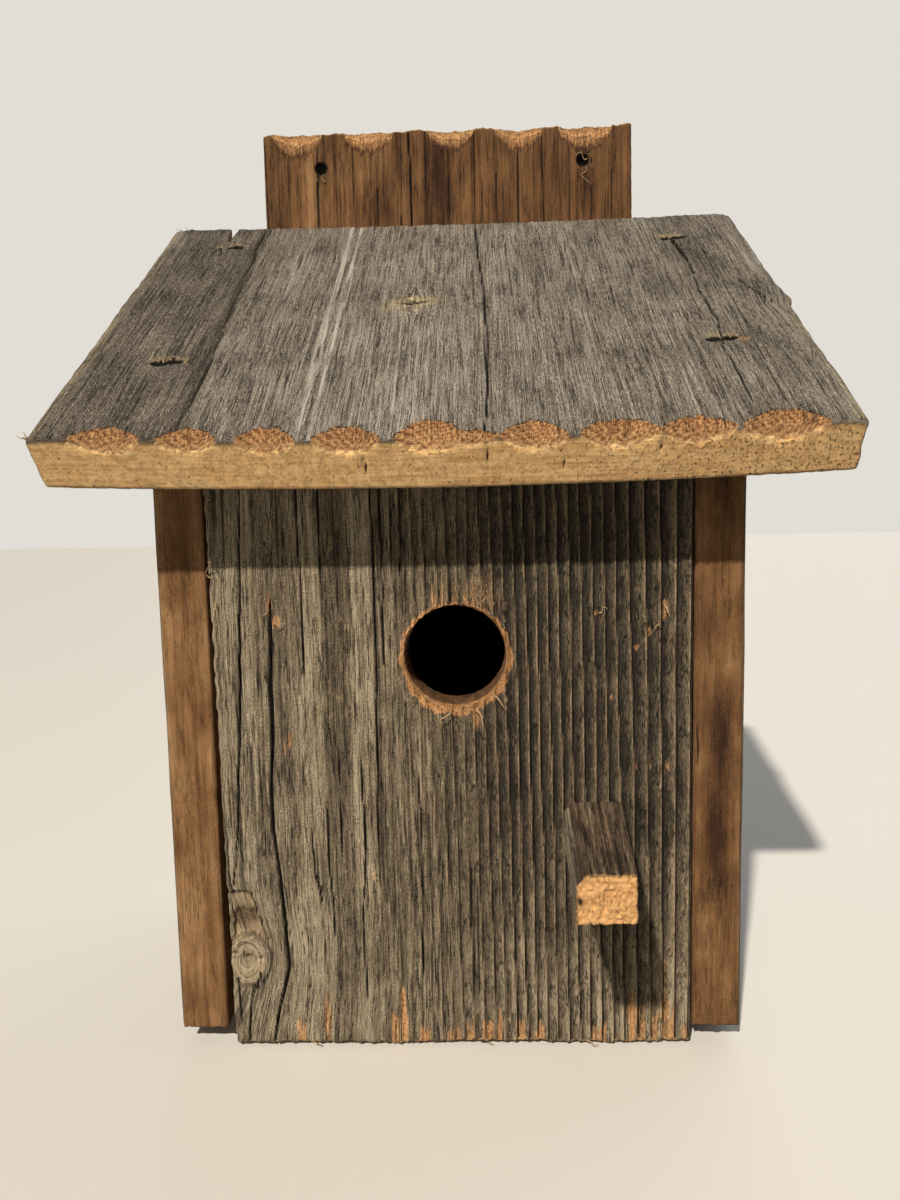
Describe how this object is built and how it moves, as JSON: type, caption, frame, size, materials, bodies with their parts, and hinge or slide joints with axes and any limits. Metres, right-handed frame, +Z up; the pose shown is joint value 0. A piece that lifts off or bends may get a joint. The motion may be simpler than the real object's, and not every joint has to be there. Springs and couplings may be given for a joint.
{
  "type": "birdhouse",
  "caption": "Rustic nest box of weathered boards with a sloping scalloped roof, a tall back board to hang it by, a round entrance and a front that swings up.",
  "frame": {"origin": "middle of the foot of the whole object's bounding box, perch block included", "axes": "+Z up, +Y from the front to the back, +X to the right as seen from the front"},
  "size_m": [0.287, 0.236, 0.4125],
  "materials": {
    "side_wood": "rough-sawn, warm brown weathered softwood",
    "back_wood": "rough-sawn, red-brown softwood with raised grain",
    "floor_wood": "rough-sawn, brown softwood",
    "roof_wood": "silver-grey weathered barn board, tan end grain",
    "panel_wood": "grey-brown weathered barn board with deep raised grain",
    "perch_wood": "weathered stick with a freshly sawn end",
    "rusty_nail": "rust-brown steel nail",
    "staple_wire": "dull galvanised wire with rust stains"
  },
  "bodies": {
    "house": {"left_side": "side_wood", "right_side": "side_wood", "back_board": "back_wood", "floor_board": "floor_wood", "roof_board": "roof_wood", "roof_staples": "staple_wire", "back_staples": "staple_wire", "floor_staples": "staple_wire", "pivot_nail_left": "rusty_nail", "pivot_nail_right": "rusty_nail"},
    "door": {"front_panel": "panel_wood", "perch_block": "perch_wood", "perch_staples": "staple_wire"}
  },
  "joints": [
    {"name": "front_swing", "type": "hinge", "parent": "house", "child": "door", "pos_m": [0, -0.03525, 0.18], "axis": [-1, 0, 0], "range_deg": [0, 108]}
  ]
}
